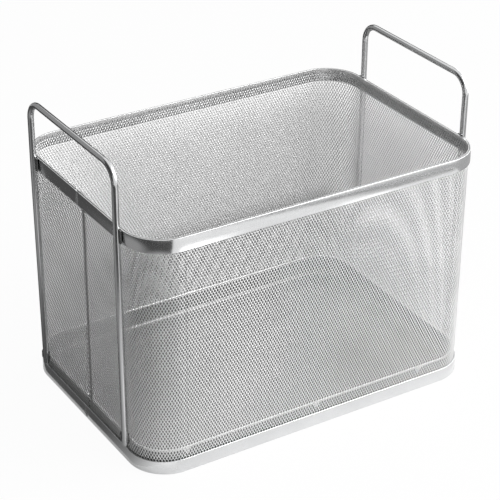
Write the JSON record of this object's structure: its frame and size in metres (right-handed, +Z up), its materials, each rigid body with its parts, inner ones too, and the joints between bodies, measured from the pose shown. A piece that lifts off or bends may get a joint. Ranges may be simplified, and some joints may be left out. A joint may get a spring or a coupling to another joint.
{
  "type": "pasta cooking basket",
  "caption": "Rectangular stainless basket with walls of fine diamond mesh, solid pressed floor, flat bars round rim and foot, and an upright wire handle at each end, for boiling pasta.",
  "frame": {"origin": "middle of the foot, on the surface that the basket stands on", "axes": "+X along the basket towards the right-hand handle, +Y across it towards the rear, +Z up"},
  "size_m": [0.382, 0.2504, 0.3063],
  "materials": {
    "mesh_sheet": "fine expanded stainless mesh, matt",
    "floor_sheet": "pressed stainless sheet, satin",
    "flat_bar": "polished stainless flat bar",
    "handle_wire": "bright drawn stainless wire",
    "weld_metal": "cleaned weld bead"
  },
  "bodies": {
    "root": {"wall_sheet": "mesh_sheet", "floor_pan": "floor_sheet", "rim_bar": "flat_bar", "foot_bar": "flat_bar", "rim_bar_weld": "weld_metal", "foot_bar_weld": "weld_metal", "left_handle": "handle_wire", "right_handle": "handle_wire", "left_front_leg_rim_weld_1": "weld_metal", "left_front_leg_rim_weld_2": "weld_metal", "left_rear_leg_rim_weld_1": "weld_metal", "left_rear_leg_rim_weld_2": "weld_metal", "right_front_leg_rim_weld_1": "weld_metal", "right_front_leg_rim_weld_2": "weld_metal", "right_rear_leg_rim_weld_1": "weld_metal", "right_rear_leg_rim_weld_2": "weld_metal", "left_front_leg_foot_weld_1": "weld_metal", "left_front_leg_foot_weld_2": "weld_metal", "left_rear_leg_foot_weld_1": "weld_metal", "left_rear_leg_foot_weld_2": "weld_metal", "right_front_leg_foot_weld_1": "weld_metal", "right_front_leg_foot_weld_2": "weld_metal", "right_rear_leg_foot_weld_1": "weld_metal", "right_rear_leg_foot_weld_2": "weld_metal", "front_floor_tack_1": "weld_metal", "front_floor_tack_2": "weld_metal", "front_floor_tack_3": "weld_metal", "rear_floor_tack_1": "weld_metal", "rear_floor_tack_2": "weld_metal", "rear_floor_tack_3": "weld_metal", "left_floor_tack_1": "weld_metal", "left_floor_tack_2": "weld_metal", "right_floor_tack_1": "weld_metal", "right_floor_tack_2": "weld_metal"}
  },
  "joints": []
}
